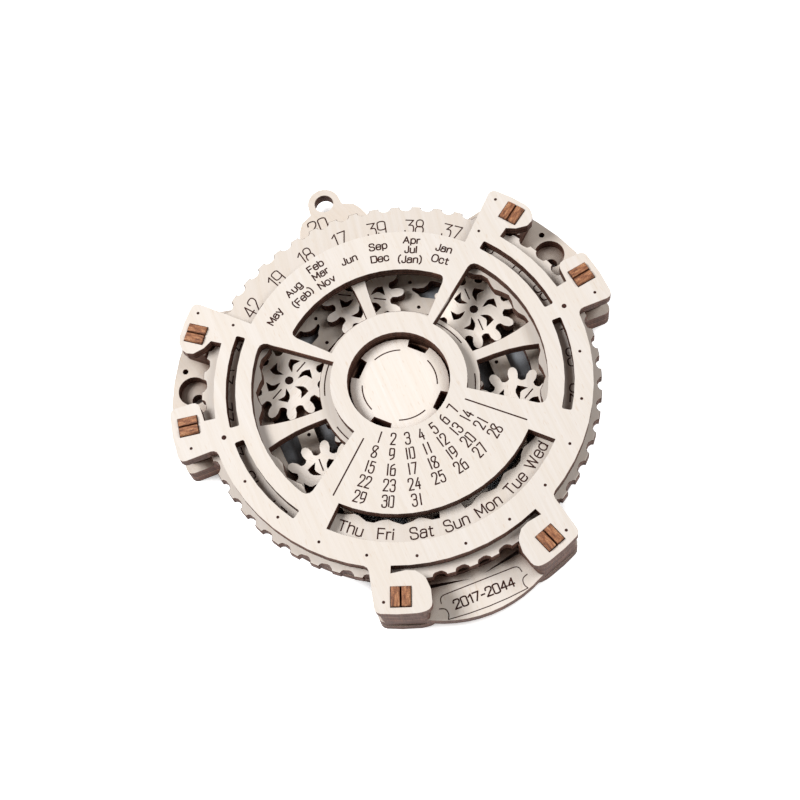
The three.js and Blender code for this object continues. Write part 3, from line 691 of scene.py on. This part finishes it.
century = Marks(FRAME_PLATE_FACE)
century.text("20", Vector(CENTURY_AT), 0, **CENTURY_LETTERS)
century.text("2017-2044", Vector(RANGE_AT), 0, **RANGE_LETTERS)
name_frame(century)
century.piece("frame_plate_marks", "frame")

# Setting marks of the planet gears: two short lines in each, on both sides of its hole
SETTING_ANGLES = [150, 30, 90, 150, 30, 90]
SETTING_REACH = (3.5, 6.9)
SETTING_WIDTH = 0.38
for k, angle in enumerate(SETTING_ANGLES, 1):
    line = Marks(PLANET_FACE)
    for side in (-1, 1):
        line.ribbon([middle(f"planet_gear_{k}") + polar(side * reach, angle) for reach in SETTING_REACH],
                    SETTING_WIDTH)
    line.piece(f"planet_mark_{k}", f"planet_{k}")


# Floor, light and camera

FLOOR_HALF = 30000
FLOOR_DROP = 0.05
FLOOR_SHADE_REACH = 12
UNDER_RADIUS = 46
FLOOR_COLOUR = (0.8, 0.83, 0.86)
# Painted shade of the floor under the calendar, by openness, and painted light that glows on the open floor
UNDER_SHADE = [(0.2, (0.06, 0.045, 0.04)), (0.5, (0.5, 0.56, 0.63))]
GLOW = [(0.2, 0.0), (0.6, 0.95)]


def floor():
    """Pale table with painted light: outside UNDER_RADIUS it glows where nothing stands near, which washes out
    the calendar's cast shadow.

    Within UNDER_RADIUS of the axis it lies under the calendar and is seen through the windows; there its
    colour is painted shade, dark where the calendar stands close.
    """
    mesh = bpy.data.meshes.new("floor")
    corners = [(x * FLOOR_HALF * MM, y * FLOOR_HALF * MM, 0) for x, y in CORNERS]
    mesh.from_pydata(corners, [], [(0, 1, 2, 3)])
    made = bpy.data.objects.new("floor", mesh)
    made.location.z = -FLOOR_DROP * MM
    bpy.context.scene.collection.objects.link(made)
    material, tree, shader = new_material("floor")
    shader.inputs["Roughness"].default_value = 0.9
    open_share = openness(tree, FLOOR_SHADE_REACH, samples=24)
    place = add_node(tree, "ShaderNodeTexCoord").outputs["Object"]
    from_axis = add_node(tree, "ShaderNodeVectorMath", {0: place}, operation="LENGTH").outputs["Value"]
    outside = maths(tree, "GREATER_THAN", from_axis, UNDER_RADIUS * MM)
    glow = maths(tree, "MULTIPLY", ramp(tree, open_share, GLOW), outside)
    colour = blend(tree, outside, ramp(tree, open_share, UNDER_SHADE), FLOOR_COLOUR)
    tree.links.new(colour, shader.inputs["Base Color"])
    shader.inputs["Emission Color"].default_value = (1, 1, 1, 1)
    tree.links.new(glow, shader.inputs["Emission Strength"])
    mesh.materials.append(material)


def area_light(name, place, size, watts, colour):
    """A round lamp that faces the origin."""
    data = bpy.data.lights.new(name, "AREA")
    data.shape = "DISK"
    data.size = size * MM
    data.energy = watts
    data.color = colour
    lamp = bpy.data.objects.new(name, data)
    lamp.location = Vector(place) * MM
    lamp.rotation_mode = "QUATERNION"
    lamp.rotation_quaternion = (-Vector(place)).to_track_quat("-Z", "Y")
    bpy.context.scene.collection.objects.link(lamp)


def surround(colour, strength):
    """Faint even light from all sides."""
    world = bpy.data.worlds.new("studio")
    world.use_nodes = True
    background = world.node_tree.nodes["Background"]
    background.inputs["Color"].default_value = (*colour, 1)
    background.inputs["Strength"].default_value = strength
    bpy.context.scene.world = world


# The photograph's view: the camera's angles, its distance, how far from the front face's middle it aims, and
# its focal length in the photograph's pixels
ELEVATION = 68.109
TURN = 7.295
ROLL = 14.434
DISTANCE = 406.065
AIM_RIGHT = 0.445
AIM_DOWN = 5.588
FOCAL_PIXELS = 1485.357
PHOTO_PIXELS = 800
SENSOR_WIDTH = 36
NEAREST = 10
FARTHEST = 100000


def camera():
    """Sets up the photograph's view."""
    elevation, turn, roll = (math.radians(a) for a in (ELEVATION, TURN, ROLL))
    level_right = Vector((math.cos(turn), -math.sin(turn), 0))
    level_forward = Vector((math.sin(turn), math.cos(turn), 0))
    level_up = level_forward * math.sin(elevation) + Vector((0, 0, 1)) * math.cos(elevation)
    forward = level_forward * math.cos(elevation) - Vector((0, 0, 1)) * math.sin(elevation)
    right = level_right * math.cos(roll) - level_up * math.sin(roll)
    up = level_right * math.sin(roll) + level_up * math.cos(roll)
    place = Vector((0, 0, FRONT)) + right * AIM_RIGHT - up * AIM_DOWN - forward * DISTANCE
    data = bpy.data.cameras.new("camera")
    data.sensor_width = SENSOR_WIDTH
    data.lens = FOCAL_PIXELS * SENSOR_WIDTH / PHOTO_PIXELS
    data.clip_start = NEAREST * MM
    data.clip_end = FARTHEST * MM
    made = bpy.data.objects.new("camera", data)
    made.matrix_world = Matrix((
        (right.x, up.x, -forward.x, place.x * MM),
        (right.y, up.y, -forward.y, place.y * MM),
        (right.z, up.z, -forward.z, place.z * MM),
        (0, 0, 0, 1),
    ))
    bpy.context.scene.collection.objects.link(made)
    bpy.context.scene.camera = made


floor()
camera()
area_light("key", place=(-609, 284, 871), size=500, watts=11.9, colour=(1.0, 0.985, 0.972))
area_light("fill", place=(760, -40, 860), size=600, watts=5.4, colour=(1.0, 0.98, 0.96))
surround(colour=(1.0, 0.93, 0.87), strength=0.17)
bpy.context.scene.view_settings.view_transform = "Standard"
